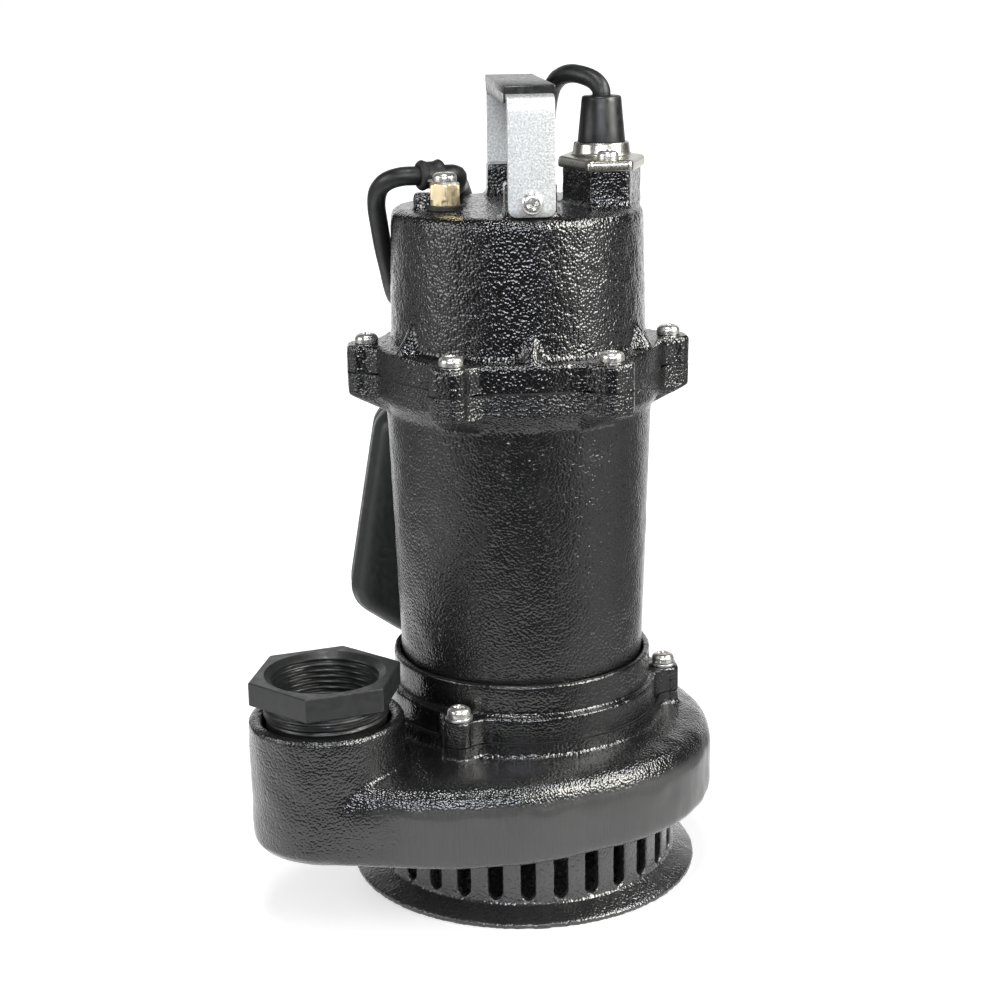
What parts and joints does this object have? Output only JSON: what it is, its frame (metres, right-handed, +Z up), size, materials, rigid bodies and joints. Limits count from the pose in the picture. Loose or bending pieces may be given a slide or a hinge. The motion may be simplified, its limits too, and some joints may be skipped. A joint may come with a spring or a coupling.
{
  "type": "submersible sump pump",
  "caption": "Submersible cast sump pump with strap handle, threaded discharge, slotted strainer base and a tethered float switch on coiled cords.",
  "frame": {"origin": "centre of the foot's underside, on the pump's axis", "axes": "+Z up along the motor axis; -Y is the front; the handle runs along Y; the discharge stands at the front left"},
  "size_m": [0.2045, 0.3427, 0.353],
  "materials": {
    "cast_body": "black enamel over a pebbled casting",
    "zinc_steel": "zinc plated, speckled",
    "bright_screws": "nickel plated",
    "gland_metal": "bright plated",
    "bare_steel": "bare steel",
    "copper": "varnished copper wire",
    "brass": "bright brass",
    "black_rubber": "matte black",
    "cord_rubber": "satin black",
    "dark_plastic": "matte dark grey",
    "black_plastic": "black",
    "pale_plastic": "cream",
    "seal_parts": "ceramic and carbon",
    "impeller_plastic": "glass-filled",
    "aluminium_can": "plain can"
  },
  "bodies": {
    "pump": {"strainer_base": "cast_body", "base_screws": "bright_screws", "volute": "cast_body", "bracket_gasket": "black_rubber", "lower_bracket": "cast_body", "bracket_screws": "bright_screws", "spring_washers": "bright_screws", "housing_bolts": "bright_screws", "motor_housing": "cast_body", "flange_gasket": "black_rubber", "upper_cap": "cast_body", "flange_screws": "bright_screws", "bearing_plate": "bare_steel", "stator_core": "bare_steel", "stator_windings": "copper", "lower_bearing": "bare_steel", "upper_bearing": "bare_steel", "seal_seat": "seal_parts", "capacitor": "aluminium_can", "capacitor_clip": "zinc_steel", "discharge_adapter": "dark_plastic", "handle_strap": "zinc_steel", "handle_grip": "black_plastic", "handle_screws": "bright_screws", "gland_plate": "gland_metal", "gland_pad": "black_rubber", "gland_screws": "bright_screws", "strain_relief": "black_rubber", "brass_post": "brass", "post_washer": "black_rubber", "clamp_screw": "bright_screws", "cord_clamp": "zinc_steel", "clamp_cushion": "black_rubber", "float_cord": "cord_rubber", "float_cord_coil": "cord_rubber", "float_plug": "black_plastic", "float_plug_blades": "brass", "float_plug_tail": "cord_rubber", "power_cord": "cord_rubber", "power_cord_coil": "cord_rubber", "power_cord_tail": "cord_rubber", "power_plug": "black_plastic", "power_plug_blades": "brass", "coil_ties": "black_plastic"},
    "rotor": {"rotor_core": "bare_steel", "motor_shaft": "bare_steel", "seal_head": "seal_parts", "impeller": "impeller_plastic", "impeller_nut": "bare_steel"},
    "float": {"float_front_shell": "dark_plastic", "float_rear_shell": "dark_plastic", "float_boot": "black_rubber", "float_tether": "cord_rubber", "ball_track": "pale_plastic", "microswitch": "black_plastic"},
    "ball": {"steel_ball": "bare_steel"}
  },
  "joints": [
    {"name": "rotor_spin", "type": "hinge", "parent": "pump", "child": "rotor", "pos_m": [0, 0, 0.2], "axis": [0, 0, 1], "continuous": true},
    {"name": "float_swing", "type": "hinge", "parent": "pump", "child": "float", "pos_m": [-0.035, 0.084, 0.236], "axis": [1, 0, 0], "range_deg": [0, 110]},
    {"name": "float_ball_roll", "type": "slide", "parent": "float", "child": "ball", "axis": [0, 0, 1], "range_m": [0, 0.026]}
  ]
}
